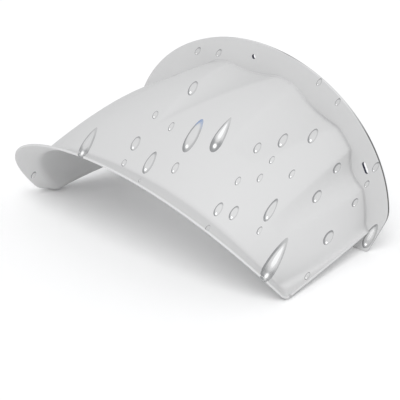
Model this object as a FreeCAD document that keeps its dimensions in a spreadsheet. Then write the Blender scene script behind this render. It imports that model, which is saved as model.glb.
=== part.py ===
# Camera sun shield: one moulded shell that screws flat to a wall above an outdoor camera.
#
# Frame: the origin is the centre of the top screw hole on the back face of the flange, the
# wall is the plane y = 0, the hood reaches forward along -Y and +Z is up.
#
# The shield is a flat oval flange and a hood of even wall. The hood's roof is an arch that
# drops forward, with five scoops pressed into it beside the flange that fade out towards the
# front. Its front edge turns out into a brim and its two bottom edges turn out into lips.
import FreeCAD, Part
import math
import os
from FreeCAD import Placement, Rotation, Vector

os.makedirs("parts", exist_ok=True)
doc = FreeCAD.newDocument("CameraSunShield")

# Driving dimensions, in millimetres and degrees. Drops are measured down from the top screw
# hole, reaches forward from the wall. A share has no unit.
drivingSizes = {
    # flange
    "flange_thickness": 3.0,
    "flange_half_width": 199.6,
    "flange_half_height": 149.7,
    "flange_top_rise": 16.9,
    "flange_bottom_drop": 177.3,
    "flange_foot_half_width": 174.8,
    "flange_side_angle": 27.6,
    "flange_shoulder_round": 30.0,
    "flange_toe_round": 6.0,
    "flange_foot_width": 20.0,
    # screw holes
    "top_hole_radius": 2.6,
    "slot_length": 12.8,
    "slot_width": 5.0,
    "slot_hood_gap": 18.36,
    "slot_drop": 84.4,
    "slot_angle": 60.0,
    # hood: its wall, and its three arches at the wall, at the crease before the brim and at
    # the brim's edge, which overhangs the crease; squareness 2 is an ellipse and a higher one
    # is boxier
    "hood_wall": 2.5,
    "rear_half_width": 170.0,
    "rear_rise": 138.6,
    "rear_foot_drop": 150.0,
    "rear_squareness": 2.26,
    "crease_half_width": 179.5,
    "crease_rise": 99.5,
    "crease_foot_drop": 174.5,
    "crease_foot_reach": 139.0,
    "crease_apex_reach": 206.0,
    "crease_bow_share": 0.4,
    "crease_squareness": 2.24,
    "brim_half_width": 200.0,
    "brim_rise": 111.5,
    "brim_foot_drop": 173.0,
    "brim_foot_overhang": 15.0,
    "brim_apex_overhang": 33.0,
    "brim_bow_share": 0.3,
    "brim_squareness": 2.06,
    "roof_bulge": 12.0,
    "crease_round": 6.0,
    # lips along the two bottom edges, from the wall to the corners of the brim
    "lip_rear_width": 6.0,
    "lip_rear_droop": 2.0,
    "lip_round": 9.0,
    "lip_corner_round": 7.0,
    # scoops: place as an angle from the top, half width as an angle, depth at the wall, share
    # of the roof's length that they take up, and how much they narrow on the way
    "top_scoop_half_angle": 12.7,
    "top_scoop_depth": 6.5,
    "top_scoop_share": 0.70,
    "top_scoop_taper": 1.0,
    "shoulder_scoop_angle": 33.5,
    "shoulder_scoop_half_angle": 12.3,
    "shoulder_scoop_depth": 8.6,
    "shoulder_scoop_share": 0.62,
    "shoulder_scoop_taper": 0.55,
    "side_scoop_angle": 63.9,
    "side_scoop_half_angle": 8.4,
    "side_scoop_depth": 10.4,
    "side_scoop_share": 0.78,
    "side_scoop_taper": 0.55,
    "scoop_crest_softness": 0.4,
}

sheet = doc.addObject("Spreadsheet::Sheet", "Sizes")
for row, (alias, value) in enumerate(drivingSizes.items(), start=1):
    sheet.set(f"A{row}", alias)
    sheet.set(f"B{row}", str(value))
    sheet.setAlias(f"B{row}", alias)
doc.recompute()


def size(alias):
    return float(sheet.get(alias))


def bind(feature, **expressions):
    """Ties properties of a feature to cells of the sheet."""
    for name, expression in expressions.items():
        feature.setExpression(name.replace("__", "."), expression)


def between(start, end, share):
    return start * (1 - share) + end * share


def roundedCorner(start, corner, end):
    """Points of a curve that rounds a corner, without its two ends."""
    curve = Part.BezierCurve()
    curve.setPoles([start, corner, end])
    return [curve.value(share) for share in (0.25, 0.5, 0.75)]


# Shape of the hood's outer surface

FOOT = math.radians(90)
ROOF_STATIONS = 12
BRIM_STATIONS = 3
STATION_GRADING = 1.5
# columns are counted on one half of the hood
FINE_COLUMNS = 120
ARCH_COLUMNS = 40
LIP_COLUMNS = 10
LIP_SHARE = 0.1


def archReach(arch, place):
    """How far an arch lies in front of the wall, at its "apex" or at its "foot"."""
    if arch == "brim":
        return archReach("crease", place) + size(f"brim_{place}_overhang")
    return size(f"{arch}_{place}_reach")


def archPoint(arch, angle):
    """A point of one of the hood's three arches, at an angle from the top of the arch."""
    squareness = size(arch + "_squareness")
    across = math.sin(angle)
    upward = max(math.cos(angle), 0.0)
    radius = (abs(across) ** squareness + upward ** squareness) ** (-1 / squareness)
    height = radius * upward
    x = size(arch + "_half_width") * radius * across
    z = size(arch + "_rise") * height - size(arch + "_foot_drop")
    if arch == "rear":
        return Vector(x, 0, z)
    rake = archReach(arch, "apex") - archReach(arch, "foot")
    bow = 1 + size(arch + "_bow_share") * (1 - height)
    return Vector(x, -archReach(arch, "foot") - rake * height * bow, z)


def scoopDepth(angle, along):
    """How far the roof is pressed in, at an angle from the top and a share of its length."""
    depth = 0.0
    for scoop in ("top_scoop", "shoulder_scoop", "side_scoop"):
        centre = 0.0 if scoop == "top_scoop" else size(scoop + "_angle")
        fade = 1 - along / size(scoop + "_share")
        if fade <= 0:
            continue
        halfAngle = size(scoop + "_half_angle") * (1 - size(scoop + "_taper") * (1 - fade))
        offset = (abs(math.degrees(angle)) - centre) / halfAngle
        hollow = 1 - offset * offset
        hollow = (hollow + math.hypot(hollow, size("scoop_crest_softness"))) / 2
        depth += size(scoop + "_depth") * fade * hollow
    return depth


def roofPoint(angle, along):
    """A point on the outside of the roof: along is 0 at the wall and 1 at the crease."""
    point = between(archPoint("rear", angle), archPoint("crease", angle), along)
    swell = size("roof_bulge") * 4 * along * (1 - along)
    point += Vector(math.sin(angle) / 2, 0, math.cos(angle)) * swell
    acrossNormal = math.sin(angle) / size("rear_half_width")
    upwardNormal = math.cos(angle) / size("rear_rise")
    outward = Vector(acrossNormal, 0, upwardNormal).normalize()
    return point - outward * scoopDepth(angle, along)


def hoodProfile(angle):
    """The outside of the hood at one angle, from the wall over the crease to the brim's edge.

    The points lie closer together towards the crease.
    """
    creaseAt = archPoint("crease", angle)
    brimAt = archPoint("brim", angle)
    roofEnd = 1 - size("crease_round") / (creaseAt - archPoint("rear", angle)).Length
    turnEnd = between(creaseAt, brimAt, size("crease_round") / (brimAt - creaseAt).Length)
    points = []
    for i in range(ROOF_STATIONS + 1):
        along = 1 - (1 - i / ROOF_STATIONS) ** STATION_GRADING
        points.append(roofPoint(angle, roofEnd * along))
    points += roundedCorner(points[-1], creaseAt, turnEnd)
    for i in range(BRIM_STATIONS + 1):
        points.append(between(turnEnd, brimAt, (i / BRIM_STATIONS) ** STATION_GRADING))
    return points


def lipEdge(foot):
    """The point on a lip's straight outer edge that belongs to a point of the hood's foot."""
    rear = archPoint("rear", FOOT)
    rear += Vector(size("lip_rear_width"), 0, -size("lip_rear_droop"))
    corner = archPoint("brim", FOOT)
    reach = -foot.y
    pastCrease = reach - archReach("crease", "foot")
    if pastCrease > 0:
        reach -= size("lip_corner_round") * pastCrease / size("brim_foot_overhang")
    return between(rear, corner, reach / archReach("brim", "foot"))


def crossSection(profiles, foot, station):
    """The right half of the hood's outside at one station, from its middle to the lip's edge."""
    arch = [profile[station] for profile in profiles]
    edge = lipEdge(foot[station])
    roundShare = min(size("lip_round") / (edge - foot[station]).Length, 0.6)
    turnEnd = between(foot[station], edge, roundShare)
    return arch + roundedCorner(arch[-1], foot[station], turnEnd) + [turnEnd, edge]


def pointsAt(shares, line):
    """Points at growing shares of a line's length."""
    lengths = [(end - start).Length for start, end in zip(line, line[1:])]
    wanted = [share * sum(lengths) for share in shares]
    points = []
    passed = 0.0
    for start, end, length in zip(line, line[1:], lengths):
        while wanted and wanted[0] <= passed + length:
            points.append(between(start, end, (wanted.pop(0) - passed) / length))
        passed += length
    return points + [line[-1]] * len(wanted)


def outsideGrid():
    """Rows of points over the outside of the hood, each from one lip's edge to the other's.

    Every row is divided at the same shares of its length, closer together near the lips.
    """
    lastAngle = FOOT - math.asin(size("lip_round") / size("rear_rise"))
    profiles = [hoodProfile(lastAngle * i / FINE_COLUMNS) for i in range(FINE_COLUMNS + 1)]
    foot = hoodProfile(FOOT)
    shares = [(1 - LIP_SHARE) * i / ARCH_COLUMNS for i in range(ARCH_COLUMNS)]
    shares += [1 - LIP_SHARE + LIP_SHARE * i / LIP_COLUMNS for i in range(LIP_COLUMNS + 1)]
    rows = []
    for station in range(len(foot)):
        right = pointsAt(shares, crossSection(profiles, foot, station))
        left = [Vector(-point.x, point.y, point.z) for point in reversed(right[1:])]
        rows.append(left + right)
    return rows


# Solids

def meshNormals(grid):
    """Inward normals at the points of a grid, averaged from the cells around each point."""
    rowCount = len(grid)
    columnCount = len(grid[0])
    sums = [[Vector() for _ in range(columnCount)] for _ in range(rowCount)]
    for i in range(rowCount - 1):
        for j in range(columnCount - 1):
            diagonal = grid[i + 1][j + 1] - grid[i][j]
            otherDiagonal = grid[i][j + 1] - grid[i + 1][j]
            cellNormal = otherDiagonal.cross(diagonal)
            for corner in ((i, j), (i + 1, j), (i, j + 1), (i + 1, j + 1)):
                sums[corner[0]][corner[1]] += cellNormal
    return [[total.normalize() for total in row] for row in sums]


def insideGrid(outside):
    """The outside moved inwards by the wall, square to the surface, and cut off at y = 0."""
    inside = []
    for points, normals in zip(outside, meshNormals(outside)):
        inside.append([point + normal * size("hood_wall") for point, normal in zip(points, normals)])
    for point in inside[0]:
        point.y = 0
    return inside


def shareOfLength(points):
    """How far along a line each of its points lies, from 0 to 1."""
    passed = [0.0]
    for start, end in zip(points, points[1:]):
        passed.append(passed[-1] + (end - start).Length)
    return [length / passed[-1] for length in passed]


def curveThrough(points, shares):
    curve = Part.BSplineCurve()
    curve.interpolate(Points=points, Parameters=shares)
    return curve


def surfaceThrough(grid):
    """A smooth surface through a grid: first along its rows, then along the rows' poles."""
    middle = len(grid[0]) // 2
    alongRow = shareOfLength(grid[len(grid) // 2])
    acrossRows = shareOfLength([row[middle] for row in grid])
    rows = [curveThrough(row, alongRow) for row in grid]
    columns = [curveThrough(list(poles), acrossRows) for poles in zip(*[row.getPoles() for row in rows])]
    poles = [list(line) for line in zip(*[column.getPoles() for column in columns])]
    surface = Part.BSplineSurface()
    surface.buildFromPolesMultsKnots(
        poles,
        columns[0].getMultiplicities(),
        rows[0].getMultiplicities(),
        columns[0].getKnots(),
        rows[0].getKnots(),
        False,
        False,
        columns[0].Degree,
        rows[0].Degree,
    )
    return surface


def makeHood():
    """The hood as one closed solid: its two faces, joined all round by narrow border faces.

    Each face is split where the lips turn out of the side walls.
    """
    outside = outsideGrid()
    lastColumn = len(outside[0]) - 1
    seams = [0, LIP_COLUMNS, lastColumn - LIP_COLUMNS, lastColumn]
    faces = []
    sides = []
    for grid in (outside, insideGrid(outside)):
        whole = surfaceThrough(grid)
        firstU, lastU, _, _ = whole.bounds()
        columnAt = whole.getVKnots()
        patches = []
        for start, end in zip(seams, seams[1:]):
            patch = whole.copy()
            patch.segment(firstU, lastU, columnAt[start], columnAt[end])
            patches.append(patch)
            faces.append(patch.toShape())
        borders = [patch.uIso(u) for patch in patches for u in (firstU, lastU)]
        borders += [patches[0].vIso(columnAt[0]), patches[-1].vIso(columnAt[lastColumn])]
        sides.append([border.toShape() for border in borders])
    for outerEdge, innerEdge in zip(*sides):
        faces.append(Part.makeRuledSurface(outerEdge, innerEdge))
    shell = Part.makeShell(faces)
    shell.sewShape()
    solid = Part.makeSolid(shell)
    if solid.Volume < 0:
        solid.reverse()
    hood = doc.addObject("Part::Feature", "Hood")
    hood.Label = "hood"
    hood.Shape = solid
    return hood


def makeFlangePlate():
    """The flat plate of the flange: an oval that narrows below its shoulders to two feet."""
    oval = doc.addObject("Part::Ellipse", "FlangeOval")
    oval.Placement = Placement(Vector(), Rotation(Vector(1, 0, 0), 90))
    bind(oval, MajorRadius="Sizes.flange_half_width", MinorRadius="Sizes.flange_half_height")
    bind(oval, Placement__Base__z="Sizes.flange_top_rise - Sizes.flange_half_height")
    disc = doc.addObject("Part::Extrusion", "FlangeDisc")
    disc.Base = oval
    disc.DirMode = "Custom"
    disc.Dir = Vector(0, -1, 0)
    disc.Solid = True
    bind(disc, LengthFwd="Sizes.flange_thickness")

    height = "(Sizes.flange_bottom_drop + Sizes.flange_half_height)"
    topHalfWidth = f"(Sizes.flange_foot_half_width + tan(Sizes.flange_side_angle) * {height})"
    trim = doc.addObject("Part::Wedge", "FlangeTrim")
    trim.Placement = Placement(Vector(), Rotation(Vector(1, 0, 0), 90))
    bind(trim, Placement__Base__z="-Sizes.flange_bottom_drop")
    bind(trim, Xmin="-Sizes.flange_foot_half_width", Xmax="Sizes.flange_foot_half_width")
    bind(trim, X2min=f"-{topHalfWidth}", X2max=topHalfWidth)
    bind(trim, Ymin="0 mm", Ymax=height)
    bind(trim, Zmin="0 mm", Zmax="Sizes.flange_thickness")
    bind(trim, Z2min="0 mm", Z2max="Sizes.flange_thickness")
    plate = doc.addObject("Part::MultiCommon", "FlangePlate")
    plate.Shapes = [disc, trim]
    doc.recompute()

    rounded = doc.addObject("Part::Fillet", "FlangeRounded")
    rounded.Base = plate
    rounds = []
    for number, edge in enumerate(plate.Shape.Edges, start=1):
        box = edge.BoundBox
        if box.YLength < size("flange_thickness") / 2:
            continue
        atFoot = box.Center.z < 1 - size("flange_bottom_drop")
        radius = size("flange_toe_round") if atFoot else size("flange_shoulder_round")
        rounds.append((number, radius, radius))
    rounded.Edges = rounds
    return rounded


def makeHoodOpening():
    """What the flange leaves open: the inside of the hood, and the gap between the two feet.

    Its arch runs in the middle of the hood's wall, so that the wall covers the cut edge.
    """
    arch = []
    for i in range(2 * ARCH_COLUMNS + 1):
        angle = FOOT * (i / ARCH_COLUMNS - 1)
        outward = Vector(math.sin(angle), 0, math.cos(angle))
        arch.append(roofPoint(angle, 0) - outward * size("hood_wall") / 2)
    curve = Part.BSplineCurve()
    curve.interpolate(arch)
    inner = size("flange_foot_half_width") - size("flange_foot_width")
    bottom = -size("flange_bottom_drop")
    below = Vector(inner, 0, bottom - size("flange_thickness"))
    toe = Vector(inner, 0, bottom)
    corners = [arch[-1], toe, below, Vector(-below.x, 0, below.z), Vector(-toe.x, 0, toe.z), arch[0]]
    sides = [Part.makeLine(start, end) for start, end in zip(corners, corners[1:])]
    face = Part.Face(Part.Wire([curve.toShape()] + sides))
    face.translate(Vector(0, size("flange_thickness"), 0))
    opening = doc.addObject("Part::Feature", "HoodOpening")
    opening.Shape = face.extrude(Vector(0, -3 * size("flange_thickness"), 0))
    return opening


def makeTopHole():
    hole = doc.addObject("Part::Cylinder", "TopHole")
    hole.Placement = Placement(Vector(), Rotation(Vector(1, 0, 0), 90))
    bind(hole, Radius="Sizes.top_hole_radius", Height="3 * Sizes.flange_thickness")
    bind(hole, Placement__Base__y="Sizes.flange_thickness")
    return hole


def makeSlots():
    """Two slots with round ends, each along the flange's edge and beside the hood's side scoop."""
    straight = "(Sizes.slot_length - Sizes.slot_width)"
    depth = "3 * Sizes.flange_thickness"
    middle = doc.addObject("Part::Box", "SlotMiddle")
    bind(middle, Length=straight, Width="Sizes.slot_width", Height=depth)
    bind(middle, Placement__Base__x=f"-{straight} / 2", Placement__Base__y="-Sizes.slot_width / 2")
    parts = [middle]
    for name, sign in (("SlotUpperEnd", "-"), ("SlotLowerEnd", "")):
        end = doc.addObject("Part::Cylinder", name)
        bind(end, Radius="Sizes.slot_width / 2", Height=depth, Placement__Base__x=f"{sign}{straight} / 2")
        parts.append(end)
    right = doc.addObject("Part::MultiFuse", "SlotRight")
    right.Shapes = parts
    right.Refine = True
    layDown = Rotation(Vector(1, 0, 0), 90)
    beside = roofPoint(math.radians(size("side_scoop_angle")), 0).x + size("slot_hood_gap")
    turned = layDown.multiply(Rotation(Vector(0, 0, 1), -size("slot_angle")))
    right.Placement = Placement(Vector(beside, 0, 0), turned)
    bind(right, Placement__Base__z="-Sizes.slot_drop", Placement__Base__y="Sizes.flange_thickness")
    left = doc.addObject("Part::Mirroring", "SlotLeft")
    left.Source = right
    left.Normal = Vector(1, 0, 0)
    return [right, left]


def makeFlange():
    cutters = doc.addObject("Part::MultiFuse", "FlangeCutters")
    cutters.Shapes = [makeHoodOpening(), makeTopHole()] + makeSlots()
    flange = doc.addObject("Part::Cut", "Flange")
    flange.Label = "flange"
    flange.Base = makeFlangePlate()
    flange.Tool = cutters
    return flange


def makeShield():
    """The whole moulding: flange and hood as one solid."""
    shield = doc.addObject("Part::MultiFuse", "SunShield")
    shield.Label = "sun_shield"
    shield.Shapes = [makeFlange(), makeHood()]
    return shield


shield = makeShield()
doc.recompute()

for feature in doc.Objects:
    if "Invalid" in feature.State or "Error" in feature.State:
        raise RuntimeError(f"{feature.Name} failed: {feature.State}")
if shield.Shape.isNull() or not shield.Shape.isValid() or len(shield.Shape.Solids) != 1:
    raise RuntimeError("the shield isn't one valid solid")
shield.Shape.exportStep(f"parts/{shield.Label}.step")
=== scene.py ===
# Camera sun shield: a moulded hood on a flat wall flange, wet with rain drops.
# Sizes are in millimetres, and meshes are scaled to metres when they are made.
import math

import bmesh
import bpy
import numpy as np
from mathutils import Matrix, Vector
from mathutils.bvhtree import BVHTree


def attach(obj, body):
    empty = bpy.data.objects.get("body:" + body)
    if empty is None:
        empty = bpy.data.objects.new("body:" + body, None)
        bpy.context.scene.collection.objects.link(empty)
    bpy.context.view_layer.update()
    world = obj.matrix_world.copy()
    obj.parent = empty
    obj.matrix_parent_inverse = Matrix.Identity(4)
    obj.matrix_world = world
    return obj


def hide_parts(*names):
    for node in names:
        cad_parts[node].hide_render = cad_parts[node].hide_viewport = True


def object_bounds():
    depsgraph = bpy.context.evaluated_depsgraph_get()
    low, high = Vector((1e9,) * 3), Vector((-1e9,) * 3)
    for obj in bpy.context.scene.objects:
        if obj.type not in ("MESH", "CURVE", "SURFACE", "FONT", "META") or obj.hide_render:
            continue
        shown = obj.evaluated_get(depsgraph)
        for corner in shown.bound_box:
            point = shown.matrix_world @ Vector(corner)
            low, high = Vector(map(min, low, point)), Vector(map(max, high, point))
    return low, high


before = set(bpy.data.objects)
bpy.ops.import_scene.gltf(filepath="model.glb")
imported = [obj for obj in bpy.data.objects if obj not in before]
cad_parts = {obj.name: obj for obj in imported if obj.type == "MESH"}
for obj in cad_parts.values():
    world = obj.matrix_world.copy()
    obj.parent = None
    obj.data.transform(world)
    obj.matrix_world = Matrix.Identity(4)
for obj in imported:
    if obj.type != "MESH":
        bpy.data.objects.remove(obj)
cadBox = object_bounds()
millimetre = 0.001


# Helpers for numbers and lines

def straightRamp(value, start, full):
    # 0 up to the start and 1 from full on, which may also lie below the start
    return min(max((value - start) / (full - start), 0.0), 1.0)


def ramp(value, start, full):
    share = straightRamp(value, start, full)
    return share * share * (3 - 2 * share)


def resampled(line, shares):
    # points at the given shares of a line's length
    steps = np.linalg.norm(np.diff(line, axis=0), axis=1)
    lengths = np.concatenate([[0], np.cumsum(steps)])
    return np.stack([np.interp(shares * lengths[-1], lengths, line[:, k]) for k in range(3)], axis=1)


def roundedCorner(start, corner, end, count):
    # the inner points of a quadratic curve
    t = np.linspace(0, 1, count + 2)[1:-1].reshape(-1, *[1] * np.ndim(start))
    return (1 - t) ** 2 * start + 2 * t * (1 - t) * corner + t ** 2 * end


def quarterTurns(count):
    return [math.pi / 2 * k / count for k in range(count + 1)]


# Helpers for meshes

def addStrip(bm, line, otherLine):
    for a, b, c, d in zip(line, line[1:], otherLine[1:], otherLine):
        bm.faces.new((a, b, c, d))


def addRing(bm, loop, otherLoop):
    addStrip(bm, loop + loop[:1], otherLoop + otherLoop[:1])


def addGrid(bm, grid):
    rows = [[bm.verts.new(point * millimetre) for point in row] for row in grid]
    for row, nextRow in zip(rows, rows[1:]):
        addStrip(bm, row, nextRow)
    return rows


def smoothMesh(name, bm):
    bmesh.ops.recalc_face_normals(bm, faces=bm.faces)
    for face in bm.faces:
        face.smooth = True
    mesh = bpy.data.meshes.new(name)
    bm.to_mesh(mesh)
    bm.free()
    return mesh


def makeObject(name, mesh, material):
    mesh.materials.append(material)
    piece = bpy.data.objects.new(name, mesh)
    bpy.context.scene.collection.objects.link(piece)
    return piece


# Helpers for materials

class Link:
    # a node's output socket that can be added and multiplied
    def __init__(self, shading, socket):
        self.shading = shading
        self.socket = socket

    def math(self, operation, *values):
        return self.shading.node("ShaderNodeMath", dict(enumerate(values)), {"operation": operation})

    def __add__(self, other):
        return self.math("ADD", self, other)

    def __radd__(self, other):
        return self.math("ADD", other, self)

    def __mul__(self, other):
        return self.math("MULTIPLY", self, other)

    def __rmul__(self, other):
        return self.math("MULTIPLY", other, self)


class Shading:
    # the node tree of a new material
    def __init__(self, name):
        self.material = bpy.data.materials.new(name)
        self.material.use_nodes = True
        self.tree = self.material.node_tree
        self.tree.nodes.clear()

    def connect(self, socket, value):
        if isinstance(value, Link):
            self.tree.links.new(value.socket, socket)
        else:
            socket.default_value = value

    def node(self, kind, sockets, settings=None, output=0):
        # sockets are named, or numbered where two have the same name
        node = self.tree.nodes.new(kind)
        for name, value in (settings or {}).items():
            setattr(node, name, value)
        for key, value in sockets.items():
            self.connect(node.inputs[key], value)
        return Link(self, node.outputs[output]) if node.outputs else None

    def mixed(self, factor, first, second):
        return self.node("ShaderNodeMix", {0: factor, 6: first, 7: second}, {"data_type": "RGBA"}, output=2)

    def noise(self, scale, detail, roughness=0.5):
        place = self.node("ShaderNodeTexCoord", {}, output="Object")
        sockets = {"Vector": place, "Scale": scale, "Detail": detail, "Roughness": roughness}
        return self.node("ShaderNodeTexNoise", sockets)

    def attribute(self, name):
        return self.node("ShaderNodeAttribute", {}, {"attribute_name": name}, output="Fac")

    def finish(self, sockets):
        shader = self.node("ShaderNodeBsdfPrincipled", sockets)
        self.node("ShaderNodeOutputMaterial", {"Surface": shader})
        return self.material


# Hood

hood = {
    "wall": 2.5,
    "rear": {
        "halfWidth": 170, "rise": 138.6, "footDrop": 150,
        "footReach": 0, "apexReach": 0, "bow": 0, "squareness": 2.26,
    },
    "crease": {
        "halfWidth": 179.5, "rise": 99.5, "footDrop": 174.5,
        "footReach": 139, "apexReach": 206, "bow": 0.4, "squareness": 2.24,
    },
    "brim": {
        "halfWidth": 200, "rise": 111.5, "footDrop": 173,
        "footReach": 154, "apexReach": 239, "bow": 0.3, "squareness": 2.06,
    },
    "bulge": 12,
    "creaseRound": 4.5,
    "lipRearWidth": 6,
    "lipRearDroop": 2,
    "lipRound": 9,
    "lipRoundLimit": 0.6,  # as a share of the lip's width
    "lipCornerRound": 7,
    # angle from the top, half angle, depth at the wall, reach and narrowing as shares of the roof
    "scoops": [(0, 12.7, 6.5, 0.7, 1), (33.5, 12.3, 8.6, 0.62, 0.55), (63.9, 8.4, 10.4, 0.78, 0.55)],
    "crestSoftness": 0.18,
    "scoopFade": 0.8,
    # where the outside meets the flange: a rounding, then how far out over the front and down into it
    "junctionRound": 1.1,
    "junctionApron": [(0.4, 0), (0.8, 0.02), (1.2, 0.6)],
    "insideEnd": 0.8,  # how far in front of the wall plane the inside stops
    "edgeRound": 0.8,
    "edgeSegments": 3,
    "sharpAngle": math.radians(50),
    # painted shade in the concave corner at the flange, row by row from the flange outwards, and less of it
    # at the left
    "creaseShadeRows": [0, 0, 0.1, 0.4, 0.8, 1, 1, 1, 1, 0.8, 0.1, 0],
    "leftCreaseShade": 0.3,
    "creaseShadeRises": (50, 110),
    # how finely the mesh is divided
    "roofRows": 56,
    "roofCrowding": 1.3,  # above 1, the rows are closer together towards the crease
    "cornerRows": 7,
    "brimRows": 10,
    "junctionRows": 6,
    "archSamples": 400,
    "archColumns": 150,
    "lipColumns": 26,
    "lipCornerPoints": 15,
    "lipShare": 0.1,  # of each row, for the lip's columns
}
footAngle = math.pi / 2


def lastArchAngle():
    # where the arch ends and the rounding into the lip begins
    return footAngle - math.asin(hood["lipRound"] / hood["rear"]["rise"])


def archPoints(arch, angles):
    # angles are measured from the top of the arch
    power = arch["squareness"]
    across = np.sin(angles)
    upward = np.maximum(np.cos(angles), 0)
    radius = (np.abs(across) ** power + upward ** power) ** (-1 / power)
    height = radius * upward
    rake = arch["apexReach"] - arch["footReach"]
    reach = arch["footReach"] + rake * height * (1 + arch["bow"] * (1 - height))
    x = arch["halfWidth"] * radius * across
    z = arch["rise"] * height - arch["footDrop"]
    return np.stack([x, -reach, z], axis=-1)


def scoopDepth(angles, along):
    depth = np.zeros_like(along)
    for centre, halfAngle, deepest, reach, taper in hood["scoops"]:
        fade = np.maximum(1 - along / reach, 0) ** hood["scoopFade"]
        halfWidth = halfAngle * np.maximum(1 - taper * (1 - fade), 0.001)  # never quite 0
        hollow = 1 - ((np.abs(np.degrees(angles)) - centre) / halfWidth) ** 2
        hollow = (hollow + np.hypot(hollow, hood["crestSoftness"])) / 2
        depth += deepest * fade * hollow
    return depth


def roofPoints(angles, along):
    # along is 0 at the wall and 1 at the crease, with a row for each station
    share = along[..., None]
    points = archPoints(hood["rear"], angles) * (1 - share) + archPoints(hood["crease"], angles) * share
    across, flat, upward = np.sin(angles), np.zeros_like(angles), np.cos(angles)
    # the bulge is greatest halfway along, and half as great at the sides
    points = points + np.stack([across / 2, flat, upward], axis=-1) * hood["bulge"] * 4 * share * (1 - share)
    rear = hood["rear"]
    outward = np.stack([across / rear["halfWidth"], flat, upward / rear["rise"]], axis=-1)
    outward /= np.linalg.norm(outward, axis=-1, keepdims=True)
    return points - outward * scoopDepth(angles, along)[..., None]


def hoodProfiles(angles):
    # the outside from just before the flange over the crease to the brim's edge
    creaseAt = archPoints(hood["crease"], angles)
    brimAt = archPoints(hood["brim"], angles)
    roofLength = np.linalg.norm(creaseAt - archPoints(hood["rear"], angles), axis=-1)
    brimLength = np.linalg.norm(brimAt - creaseAt, axis=-1)
    first = -(flange["thickness"] + hood["junctionRound"]) / creaseAt[:, 1]
    last = 1 - hood["creaseRound"] / roofLength
    steps = np.linspace(0, 1, hood["roofRows"] + 1)[:, None]
    roof = roofPoints(angles, first - (last - first) * ((1 - steps) ** hood["roofCrowding"] - 1))
    turnEnd = creaseAt + (brimAt - creaseAt) * (hood["creaseRound"] / brimLength)[:, None]
    corner = roundedCorner(roof[-1], creaseAt, turnEnd, hood["cornerRows"])
    steps = np.linspace(0, 1, hood["brimRows"] + 1)[:, None, None]
    return np.concatenate([roof, corner, turnEnd + (brimAt - turnEnd) * steps])


def lipEdge(foot):
    # the point on the lip's straight outer edge that belongs to a point of the hood's foot
    rear = archPoints(hood["rear"], footAngle) + (hood["lipRearWidth"], 0, -hood["lipRearDroop"])
    corner = archPoints(hood["brim"], footAngle)
    creaseReach, brimReach = hood["crease"]["footReach"], hood["brim"]["footReach"]
    reach = -foot[1]
    reach -= hood["lipCornerRound"] * max(reach - creaseReach, 0) / (brimReach - creaseReach)
    return rear + (corner - rear) * reach / brimReach


def outsideGrid():
    # rows from the left lip's edge over the roof to the right lip's edge
    profiles = hoodProfiles(np.linspace(0, lastArchAngle(), hood["archSamples"]))
    feet = hoodProfiles(np.array([footAngle]))[:, 0]
    roofShare = 1 - hood["lipShare"]
    shares = np.concatenate([
        np.linspace(0, roofShare, hood["archColumns"], endpoint=False),
        np.linspace(roofShare, 1, hood["lipColumns"] + 1),
    ])
    rows = []
    for arch, foot in zip(profiles, feet):
        edge = lipEdge(foot)
        turn = min(hood["lipRound"] / np.linalg.norm(edge - foot), hood["lipRoundLimit"])
        turnEnd = foot + (edge - foot) * turn
        corner = roundedCorner(arch[-1], foot, turnEnd, hood["lipCornerPoints"])
        right = resampled(np.concatenate([arch, corner, [turnEnd, edge]]), shares)
        rows.append(np.concatenate([right[:0:-1] * (-1, 1, 1), right]))
    return np.array(rows)


def gridNormals(grid):
    # outward unit normals
    alongRow = np.gradient(grid, axis=1)
    acrossRows = np.gradient(grid, axis=0)
    normals = np.cross(acrossRows, alongRow)
    return normals / np.linalg.norm(normals, axis=-1, keepdims=True)


def outwardInWall(line):
    # unit normals of a line within the wall's plane, away from the hood's inside
    step = np.gradient(line, axis=0)
    outward = np.stack([-step[:, 2], np.zeros(len(line)), step[:, 0]], axis=-1)
    return outward / np.linalg.norm(outward, axis=-1, keepdims=True)


def markCreaseShade(bm, rows):
    # painted shade in the corner where the hood meets the flange
    layer = bm.verts.layers.float["creaseShade"]
    for row, amount in zip(rows, hood["creaseShadeRows"]):
        for vertex in row:
            rise = ramp(vertex.co.x / millimetre, *hood["creaseShadeRises"])
            vertex[layer] = amount * (hood["leftCreaseShade"] + (1 - hood["leftCreaseShade"]) * rise)


def makeHood(bm):
    outside = outsideGrid()
    inside = outside - gridNormals(outside) * hood["wall"]
    # towards the wall the outside curves into the flange's front, and the inside goes straight on
    outward = outwardInWall(outside[0])
    slope = (inside[0] - inside[1]) / (inside[0] - inside[1])[:, 1:2]
    radius = hood["junctionRound"]
    turns = quarterTurns(hood["junctionRows"])[1:]
    flare = [(radius * (1 - math.cos(turn)), radius * math.sin(turn)) for turn in turns]
    flare += [(radius + away, radius + back) for away, back in hood["junctionApron"]]
    insideStart = inside[0][:, 1]
    insideEnd = np.full(len(slope), -hood["insideEnd"])
    outerRows, innerRows = [], []
    for (away, back), y in zip(flare, np.linspace(insideStart, insideEnd, len(flare) + 1)[1:]):
        outerRows.append(outside[0] + outward * away + (0, back, 0))
        innerRows.append(inside[0] + slope * (y - insideStart)[:, None])
    outer = addGrid(bm, np.concatenate([outerRows[::-1], outside]))
    markCreaseShade(bm, outer)
    inner = addGrid(bm, np.concatenate([innerRows[::-1], inside])[:, ::-1])
    inner = [row[::-1] for row in inner]
    addStrip(bm, inner[0], outer[0])
    addStrip(bm, outer[-1], inner[-1])
    addStrip(bm, [row[0] for row in outer], [row[0] for row in inner])
    addStrip(bm, [row[-1] for row in inner], [row[-1] for row in outer])


# Flange

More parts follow.
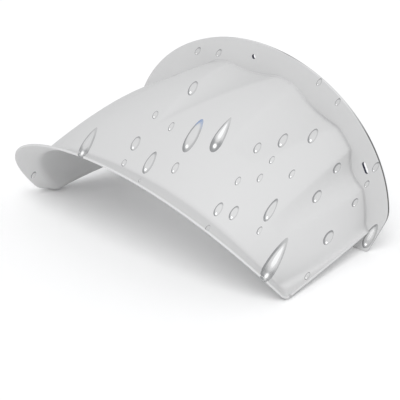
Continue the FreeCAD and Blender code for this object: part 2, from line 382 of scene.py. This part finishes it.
flange = {
    "thickness": 3,
    "halfWidth": 199.6,
    "halfHeight": 149.7,
    "centreDrop": 132.8,
    "bottomDrop": 177.3,
    "footHalfWidth": 174.8,
    "footWidth": 20,
    "sideAngle": math.radians(27.6),
    "shoulderRound": 30,
    "toeRound": 6,
    "edgeRound": 0.7,
    "holeEdgeRound": 0.15,
    "edgeMargin": 0.5,  # a flat strip beside each rounded edge
    "openingGap": 0.1,
    "topHoleRadius": 2.6,
    "slotLength": 12.8,
    "slotWidth": 5,
    "slotHalfSpacing": 165.9,
    "slotDrop": 84.4,
    "slotAngle": math.radians(60),
    # the painted shade of the outer side face: it darkens down the sides, pales at the feet and has two
    # patches on top
    "rimDarkens": (20, 50),  # below the top hole
    "rimPales": (125, 145),
    "rimPalesBy": 0.75,
    "patchAt": 50,
    "patchHalfWidth": 30,
    "patchTone": 0.6,
    "ovalShare": 0.85,
    "tonedInset": 0.1,  # how far the dark tone reaches onto the rounding of an edge
    # how finely the mesh is divided
    "ovalPoints": 140,
    "shoulderPoints": 14,
    "toePoints": 9,
    "openingPoints": 301,
    "holePoints": 40,
    "slotPoints": 28,
    "edgeRows": 5,
}


def shoulderArc():
    # where a circle of the shoulder's radius touches both the oval and the straight side
    a, b, r = flange["halfWidth"], flange["halfHeight"], flange["shoulderRound"]
    side = flange["sideAngle"]
    normal = np.array([math.cos(side), -math.sin(side)])
    foot = np.array([flange["footHalfWidth"], -flange["bottomDrop"]])

    def centreFor(turn):
        point = np.array([a * math.cos(turn), b * math.sin(turn) - flange["centreDrop"]])
        away = np.array([math.cos(turn) / a, math.sin(turn) / b])
        return point - away / np.linalg.norm(away) * r, point

    # the turn is found between these two by halving
    low, high, halvings = -0.5, 1.2, 60
    for _ in range(halvings):
        turn = (low + high) / 2
        centre, _ = centreFor(turn)
        if np.dot(centre - foot, normal) > -r:
            low = turn
        else:
            high = turn
    centre, touch = centreFor(turn)
    start = math.atan2(*(touch - centre)[::-1])
    angles = np.linspace(start, -side, flange["shoulderPoints"])
    return turn, [(centre[0] + r * math.cos(t), centre[1] + r * math.sin(t)) for t in angles]


def flangeOutline():
    # the right half from the top down to the foot's inner corner
    turn, shoulder = shoulderArc()
    angles = np.linspace(math.pi / 2, turn, flange["ovalPoints"])
    a, b, drop = flange["halfWidth"], flange["halfHeight"], flange["centreDrop"]
    oval = [(a * math.cos(t), b * math.sin(t) - drop) for t in angles]
    side, r = flange["sideAngle"], flange["toeRound"]
    x = flange["footHalfWidth"] - r * math.tan((math.pi / 2 - side) / 2)
    z = r - flange["bottomDrop"]
    angles = np.linspace(-side, -math.pi / 2, flange["toePoints"])
    toe = [(x + r * math.cos(t), z + r * math.sin(t)) for t in angles]
    innerCorner = (flange["footHalfWidth"] - flange["footWidth"], -flange["bottomDrop"])
    return np.array(oval + shoulder[1:] + toe + [innerCorner])


def hoodOpening():
    # the flange's inner edge, just inside the hood's inner skin
    angles = np.linspace(-lastArchAngle(), lastArchAngle(), flange["openingPoints"])
    along = flange["thickness"] / 2 / -archPoints(hood["crease"], angles)[:, 1]
    line = roofPoints(angles, along)
    line -= outwardInWall(line) * (hood["wall"] + flange["openingGap"])
    foot = hood["rear"]["halfWidth"] - hood["wall"], -hood["rear"]["footDrop"]
    return np.concatenate([[(-foot[0], foot[1])], line[:, (0, 2)], [foot]])


def circle(radius, count):
    turns = np.linspace(0, 2 * math.pi, count, endpoint=False)
    return np.stack([radius * np.cos(turns), radius * np.sin(turns)], axis=1)


def slotLoop(side):
    # side is -1 for the left slot and 1 for the right one
    ends = circle(flange["slotWidth"] / 2, flange["slotPoints"])
    straight = (flange["slotLength"] - flange["slotWidth"]) / 2
    ends[:, 0] += np.where(ends[:, 0] >= 0, straight, -straight)
    c, s = math.cos(flange["slotAngle"]), math.sin(flange["slotAngle"])
    turned = np.stack([ends[:, 0] * c + ends[:, 1] * s, ends[:, 1] * c - ends[:, 0] * s], axis=1)
    turned += (flange["slotHalfSpacing"], -flange["slotDrop"])
    return turned * (side, 1)


def intoPlate(loop, inset):
    # a closed loop moved sideways into the plate, which lies on its right
    before = loop - np.roll(loop, 1, axis=0)
    after = np.roll(loop, -1, axis=0) - loop
    sides = []
    for step in (before, after):
        step = step / np.linalg.norm(step, axis=1, keepdims=True)
        sides.append(np.stack([step[:, 1], -step[:, 0]], axis=1))
    middle = sides[0] + sides[1]
    middle /= np.sum(middle * sides[0], axis=1, keepdims=True)
    return loop + middle * inset


def clockwise(loop, wanted):
    x, z = loop[:, 0], loop[:, 1]
    area = np.sum(x * np.roll(z, -1) - z * np.roll(x, -1))
    return loop if (area < 0) == wanted else loop[::-1]


# painted shade along the flange's outer side face
def rimTone(x, z):
    # points well inside the oval belong to the hood's opening, which stays pale
    fromCentre = (x / flange["halfWidth"]) ** 2 + ((z + flange["centreDrop"]) / flange["halfHeight"]) ** 2
    if fromCentre < flange["ovalShare"]:
        return 0
    sides = straightRamp(-z, *flange["rimDarkens"])
    sides *= 1 - flange["rimPalesBy"] * straightRamp(-z, *flange["rimPales"])
    patch = straightRamp(abs(abs(x) - flange["patchAt"]), flange["patchHalfWidth"], 0)
    return max(sides, flange["patchTone"] * patch)


def edgeSection(radius):
    # inset and y from the back over the rounded edge to the front, with a flat margin on both faces
    back = [(radius * (1 - math.sin(turn)), radius * (math.cos(turn) - 1))
            for turn in quarterTurns(flange["edgeRows"])]
    front = [(inset, -flange["thickness"] - y) for inset, y in back[::-1]]
    margin = radius + flange["edgeMargin"]
    return [(margin, 0)] + back + front + [(margin, -flange["thickness"])]


def addRoundedEdge(bm, loop, radius, layerName, tones):
    # from the back face to the front one; returns the outermost edges on both
    layer = bm.verts.layers.float[layerName]
    rows = []
    for inset, y in edgeSection(radius):
        rows.append([bm.verts.new(Vector((x, y, z)) * millimetre) for x, z in intoPlate(loop, inset)])
        for vertex, tone in zip(rows[-1], tones):
            vertex[layer] = tone if inset < flange["tonedInset"] else 0
    for row, nextRow in zip(rows, rows[1:]):
        addRing(bm, row, nextRow)
    return [[bm.edges.get(pair) for pair in zip(row, row[1:] + row[:1])] for row in (rows[0], rows[-1])]


def makeFlange(bm):
    right = flangeOutline()
    left = right[:0:-1] * (-1, 1)
    outline = clockwise(np.concatenate([left, right, hoodOpening()[::-1]]), True)
    tones = [rimTone(x, z) for x, z in outline]
    edges = [addRoundedEdge(bm, outline, flange["edgeRound"], "rim", tones)]
    topHole = circle(flange["topHoleRadius"], flange["holePoints"])
    for loop in (topHole, slotLoop(-1), slotLoop(1)):
        loop = clockwise(loop, False)
        # the walls of the holes carry painted shade, dark navy
        edges.append(addRoundedEdge(bm, loop, flange["holeEdgeRound"], "holeShade", [1] * len(loop)))
    for faceEdges in zip(*edges):
        bmesh.ops.triangle_fill(bm, use_beauty=True, edges=[edge for loop in faceEdges for edge in loop])


# Shield

def makeWhitePlastic():
    plastic = {
        "pale": (0.62, 0.62, 0.62, 1),
        "greyer": (0.59, 0.59, 0.59, 1),
        "cloudShare": 0.6,
        "roughness": 0.5,
        "roughnessSpread": 0.1,
        "grainStrength": 0.35,
        "grainDepth": 0.02 * millimetre,
        # painted shade in the corner at the flange, painted shade on the flange's outer side face and
        # painted shade on the walls of its holes
        "tones": {
            "creaseShade": (0.42, 0.42, 0.423, 1),
            "rim": (0.1, 0.1, 0.1, 1),
            "holeShade": (0.004, 0.006, 0.03, 1),
        },
        "IOR": 1.48,
    }
    shading = Shading("whitePlastic")
    clouds = shading.noise(scale=9, detail=3)
    smears = shading.noise(scale=60, detail=4, roughness=0.6)
    grain = shading.noise(scale=1400, detail=2)
    bump = {"Height": grain, "Strength": plastic["grainStrength"], "Distance": plastic["grainDepth"]}
    patches = clouds * plastic["cloudShare"] + smears * (1 - plastic["cloudShare"])
    colour = shading.mixed(patches, plastic["pale"], plastic["greyer"])
    for name, tone in plastic["tones"].items():
        colour = shading.mixed(shading.attribute(name), colour, tone)
    smoothest = plastic["roughness"] - plastic["roughnessSpread"] / 2
    return shading.finish({
        "Base Color": colour,
        "Roughness": smears * plastic["roughnessSpread"] + smoothest,
        "IOR": plastic["IOR"],
        "Normal": shading.node("ShaderNodeBump", bump),
    })


def makeShield():
    bm = bmesh.new()
    for name in ("creaseShade", "rim", "holeShade"):
        bm.verts.layers.float.new(name)
    makeHood(bm)
    makeFlange(bm)
    shield = makeObject("shieldShell", smoothMesh("shield", bm), makeWhitePlastic())
    rounding = shield.modifiers.new("rounded rims", "BEVEL")
    rounding.limit_method = "ANGLE"
    rounding.angle_limit = hood["sharpAngle"]
    rounding.width = hood["edgeRound"] * millimetre
    rounding.segments = hood["edgeSegments"]
    rounding.use_clamp_overlap = False
    rounding.harden_normals = True
    return shield


shield = makeShield()
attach(shield, "root")
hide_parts("sun_shield")
print("shield", len(shield.data.polygons), "faces")


# Camera

view = {
    "azimuth": math.radians(46.536),
    "elevation": math.radians(21.716),
    "roll": math.radians(0.787),
    "lens": 117.55,
    "sensor": 36,
    "pixels": 400,
    # the camera stands off from the aim by this much to its right, upwards and backwards
    "aim": Vector((0, -0.003, 0)),
    "offset": (-0.05907, -0.15774, 1.43668),
}
focalPixels = view["lens"] / view["sensor"] * view["pixels"]


def makeCamera():
    a, e, r = view["azimuth"], view["elevation"], view["roll"]
    back = Vector((math.sin(a) * math.cos(e), -math.cos(a) * math.cos(e), math.sin(e)))
    level = Vector((math.cos(a), math.sin(a), 0))
    upright = back.cross(level)
    right = level * math.cos(r) + upright * math.sin(r)
    up = upright * math.cos(r) - level * math.sin(r)
    data = bpy.data.cameras.new("camera")
    data.lens = view["lens"]
    data.sensor_width = view["sensor"]
    camera = bpy.data.objects.new("camera", data)
    bpy.context.scene.collection.objects.link(camera)
    x, y, z = view["offset"]
    place = Matrix((right, up, back)).transposed().to_4x4()
    place.translation = view["aim"] + right * x + up * y + back * z
    camera.matrix_world = place
    bpy.context.scene.camera = camera
    return camera


camera = makeCamera()
print("camera at", [round(place, 3) for place in camera.matrix_world.translation])


# Rain drops

rain = {
    "rings": 14,
    "points": 44,
    "lean": math.radians(60),
    "heightShare": 0.2,  # of the width
    "greatestHeight": 1.2,
    "sunk": 0.2,  # how far the rim lies under the shield's surface
    # water past an edge is pulled back in steps to the brink, where it is thin
    "brinkSteps": 41,
    "brinkHeight": 0.2,
    "reach": 3,  # no point is further than this many lengths from the middle
    "facing": 0.3,  # and its surface faces about the same way
    # pixel of the middle, then length and width in pixels
    "small": [
        (198, 51, 9, 5.4), (219, 53, 9, 5.4), (155.5, 115, 9, 5.4), (171.4, 126.7, 10.5, 5),
        (124.3, 163, 8, 5), (139.7, 180.5, 4, 2.8), (272, 160, 9, 5), (238, 181, 10, 5.4),
        (260, 178, 10, 5.4), (292, 174, 10.5, 5.4), (355, 202.5, 10, 5.4), (367, 184, 8.5, 4.8),
        (259.5, 230.5, 9.5, 4.8), (307.5, 276, 9, 5), (207.4, 228.8, 9, 5),
        (319.5, 82, 9, 5), (338, 102, 9, 5), (33.7, 175, 8, 4.4),
        (193, 88.3, 16.5, 8.4), (135.7, 143.5, 16.5, 8.2), (175.4, 168, 13, 6.6),
        (257.5, 148, 12.5, 7.2), (283, 140.5, 16.5, 8.6), (313, 136, 17, 8.8), (337, 168, 12.5, 7),
        (317, 196.5, 15, 8.2), (376, 167, 12, 6), (218.5, 209.3, 16, 8),
        (234, 213, 16.5, 8.4), (328.5, 237.5, 17, 9),
    ],
    "smallLook": (0.2, 0, 0, 0),
    # the same, then how pointed the upper end is, how dark the painted shade at the lower end is,
    # how bright the painted highlight in the middle is and how strong the painted sky reflection at the
    # upper end is
    "large": [
        (193.2, 135.6, 39, 13, 0.35, 0.1, 0, 1), (221.2, 134.6, 41, 15, 0.65, 1, 1, 0),
        (88, 143, 37, 12.5, 0.55, 0.9, 0.5, 0), (149.8, 162.6, 26, 9.6, 0.35, 0, 0.15, 0),
        (270.9, 210, 27, 9.6, 0.35, 0, 0.15, 0), (274.5, 260.5, 54, 18, 0.55, 0.8, 1, 0),
        (370.5, 236, 28, 12.5, 0.4, 0.2, 0.9, 0),
    ],
    # Painted shade, painted highlight and painted sky reflection on the water. Places run to 1 at the upper
    # end or at the rim, and to -1 at the lower end, and a pair says where a tone begins and where it is
    # full.
    "bigLength": (18, 34),
    "rimAt": (0.58, 0.84),
    "rimShade": 0.22,
    "leftAt": (0.75, -0.35),
    "leftShade": 0.6,
    "bigShade": 0.24,
    "rimFadesAt": (0.3, 0.9),
    "rimFadesBy": 0.7,
    "upperAt": (0.6, 0.78),
    "upperShade": 0.6,
    "lowerAt": (-0.05, -0.5),
    "lowerFromMiddle": (0.3, 0.66),
    "lowerShade": 0.8,
    "spotMiddle": (-0.66, 0.06),
    "spotSize": (0.2, 0.34),
    "bigSpotLoss": 0.06,
    "spotEdge": (1.15, 0.25),
    "streakMiddle": 0.16,
    "streakSize": (0.66, 0.56),
    "streakEdge": (1, 0.55),
    "streakGlint": 0.62,
    "skyReflectionAt": (0.35, 0.7),
}


def makeWater():
    water = {
        "shade": (0.2, 0.205, 0.21, 1),
        "sky": (0.16, 0.25, 0.45, 1),
        "glint": (1, 1, 1, 1),
        "noGlow": (0, 0, 0, 1),
        "glow": 0.5,
        "bodyAlpha": 0.03,
        "roughness": 0.05,
        "IOR": 1.33,
    }
    shading = Shading("rainWater")
    shade, glint, skyReflection = [shading.attribute(name) for name in ("shade", "glint", "skyReflection")]
    # painted shade and painted sky reflection, with a painted highlight that also glows
    colour = shading.mixed(skyReflection, water["shade"], water["sky"])
    return shading.finish({
        "Base Color": shading.mixed(glint, colour, water["glint"]),
        "Roughness": water["roughness"],
        "IOR": water["IOR"],
        "Alpha": shade.math("MAXIMUM", shade + water["bodyAlpha"], glint),
        "Emission Color": shading.mixed(glint, water["noGlow"], water["glint"]),
        "Emission Strength": water["glow"],
    })


def dropLooks(share, turn, length, dark, bright, skyReflection):
    # how much painted shade, painted highlight and painted sky reflection the water has: share runs from the
    # middle to the rim, and turn from the upper end to the right
    big = ramp(length, *rain["bigLength"])
    along, across = math.cos(turn) * share, math.sin(turn) * share
    left = ramp(math.sin(turn), *rain["leftAt"])
    rim = rain["rimShade"] + (rain["leftShade"] - rain["rimShade"] * big) * left + rain["bigShade"] * big
    rim *= ramp(share, *rain["rimAt"])
    rim *= 1 - rain["rimFadesBy"] * dark * ramp(along, *rain["rimFadesAt"])
    upper = rain["upperShade"] * (1 - dark) * ramp(along, *rain["upperAt"])
    lower = rain["lowerShade"] * dark * ramp(along, *rain["lowerAt"]) * ramp(share, *rain["lowerFromMiddle"])
    # a painted highlight: a small white spot near the lower end and, in some drops, a streak along the
    # middle
    spotLength, spotWidth = [size - rain["bigSpotLoss"] * big for size in rain["spotSize"]]
    spotAlong, spotAcross = rain["spotMiddle"]
    spot = math.hypot((along - spotAlong) / spotLength, (across - spotAcross) / spotWidth)
    streakLength, streakWidth = rain["streakSize"]
    streak = math.hypot((along - rain["streakMiddle"]) / streakLength, across / streakWidth)
    spotGlint = ramp(spot, *rain["spotEdge"])
    streakGlint = rain["streakGlint"] * bright * ramp(streak, *rain["streakEdge"])
    return max(rim, upper, lower), max(spotGlint, streakGlint), skyReflection * ramp(along, *rain["skyReflectionAt"])


def rayThrough(x, y):
    half = view["pixels"] / 2
    local = Vector(((x - half) / focalPixels, (half - y) / focalPixels, -1))
    return camera.matrix_world.translation, (camera.matrix_world.to_3x3() @ local).normalized()


def addDrop(bm, surface, x, y, length, width, pointed, *look):
    # returns the looks of the drop's points
    middle, normal, _, distance = surface.ray_cast(*rayThrough(x, y))
    if middle is None:
        print("no surface under the drop at", x, y)
        return []
    pixel = distance / focalPixels
    height = min(rain["heightShare"] * width * pixel, rain["greatestHeight"] * millimetre)
    brinkHeight = rain["brinkHeight"] * millimetre
    c, s = math.cos(rain["lean"]), math.sin(rain["lean"])

    def onSurface(u, v, rise):
        # u runs along the drop to its upper end and v across it, in pixels
        for part in np.linspace(1, 0, rain["brinkSteps"]):
            ray = rayThrough(x + part * (u * c + v * s), y + part * (v * c - u * s))
            place, away, _, _ = surface.ray_cast(*ray)
            near = place is not None and (place - middle).length < rain["reach"] * length * pixel
            if near and away.dot(normal) > rain["facing"]:
                point = place + away * (rise if part == 1 else min(rise, brinkHeight))
                point.y = max(point.y, cadBox[0][1])
                return point
        return middle + normal * rise

    rows, looks = [], []
    for ring in range(rain["rings"], 0, -1):
        share = ring / rain["rings"]
        rise = height * math.sqrt(1 - share ** 2) if share < 1 else -rain["sunk"] * millimetre
        row = []
        for k in range(rain["points"]):
            turn = 2 * math.pi * k / rain["points"]
            u = math.cos(turn) * length / 2
            v = math.sin(turn) * width / 2 * (1 - pointed * (0.5 + 0.5 * math.cos(turn)))
            row.append(bm.verts.new(onSurface(u * share, v * share, rise)))
            looks.append(dropLooks(share, turn, length, *look))
        rows.append(row)
    top = bm.verts.new(onSurface(0, 0, height))
    looks.append(dropLooks(0, 0, length, *look))
    for row, nextRow in zip(rows, rows[1:]):
        addRing(bm, row, nextRow)
    for a, b in zip(rows[-1], rows[-1][1:] + rows[-1][:1]):
        bm.faces.new((a, b, top))
    return looks


def makeDrops():
    bm = bmesh.new()
    bm.from_mesh(shield.data)
    surface = BVHTree.FromBMesh(bm)
    bm.free()
    bm = bmesh.new()
    looks = []
    for drop in [(*drop, *rain["smallLook"]) for drop in rain["small"]] + rain["large"]:
        looks += addDrop(bm, surface, *drop)
    mesh = smoothMesh("rainDrops", bm)
    for name, values in zip(("shade", "glint", "skyReflection"), zip(*looks)):
        mesh.attributes.new(name, "FLOAT", "POINT").data.foreach_set("value", values)
    return makeObject("rainDrops", mesh, makeWater())


rainDrops = makeDrops()
rainDrops.visible_shadow = False
rainDrops.visible_diffuse = False
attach(rainDrops, "root")
print("rain drops", len(rain["small"]) + len(rain["large"]))


# Floor and light

studio = {
    "floorHalfWidth": 8,
    "floor": (0.97, 0.97, 0.97, 1),
    "floorPatches": (0.985, 0.985, 0.985, 1),
    "floorRoughness": 0.9,
    # where the key light comes from, its strength and how broad it looks
    "keyAzimuth": math.radians(40),
    "keyElevation": math.radians(46),
    "keyStrength": 1.65,
    "keyBreadth": math.radians(30),
    "sky": (0.985, 0.99, 1, 1),
    "skyStrength": 0.7,
}


def makeFloor():
    shading = Shading("paleFloor")
    colour = shading.mixed(shading.noise(scale=2, detail=2), studio["floor"], studio["floorPatches"])
    material = shading.finish({"Base Color": colour, "Roughness": studio["floorRoughness"]})
    far, z = studio["floorHalfWidth"], -flange["bottomDrop"] * millimetre
    mesh = bpy.data.meshes.new("floor")
    mesh.from_pydata([(-far, -far, z), (far, -far, z), (far, far, z), (-far, far, z)], [], [(0, 1, 2, 3)])
    return makeObject("floor", mesh, material)


def makeKeyLight():
    data = bpy.data.lights.new("key", "SUN")
    data.energy = studio["keyStrength"]
    data.angle = studio["keyBreadth"]
    key = bpy.data.objects.new("key", data)
    key.rotation_euler = (math.pi / 2 - studio["keyElevation"], 0, studio["keyAzimuth"])
    bpy.context.scene.collection.objects.link(key)


def makeSky():
    world = bpy.data.worlds.new("studio")
    world.use_nodes = True
    background = world.node_tree.nodes["Background"]
    background.inputs["Color"].default_value = studio["sky"]
    background.inputs["Strength"].default_value = studio["skyStrength"]
    bpy.context.scene.world = world


makeFloor()
makeKeyLight()
makeSky()
bpy.context.scene.view_settings.view_transform = "Standard"
print("floor and light")
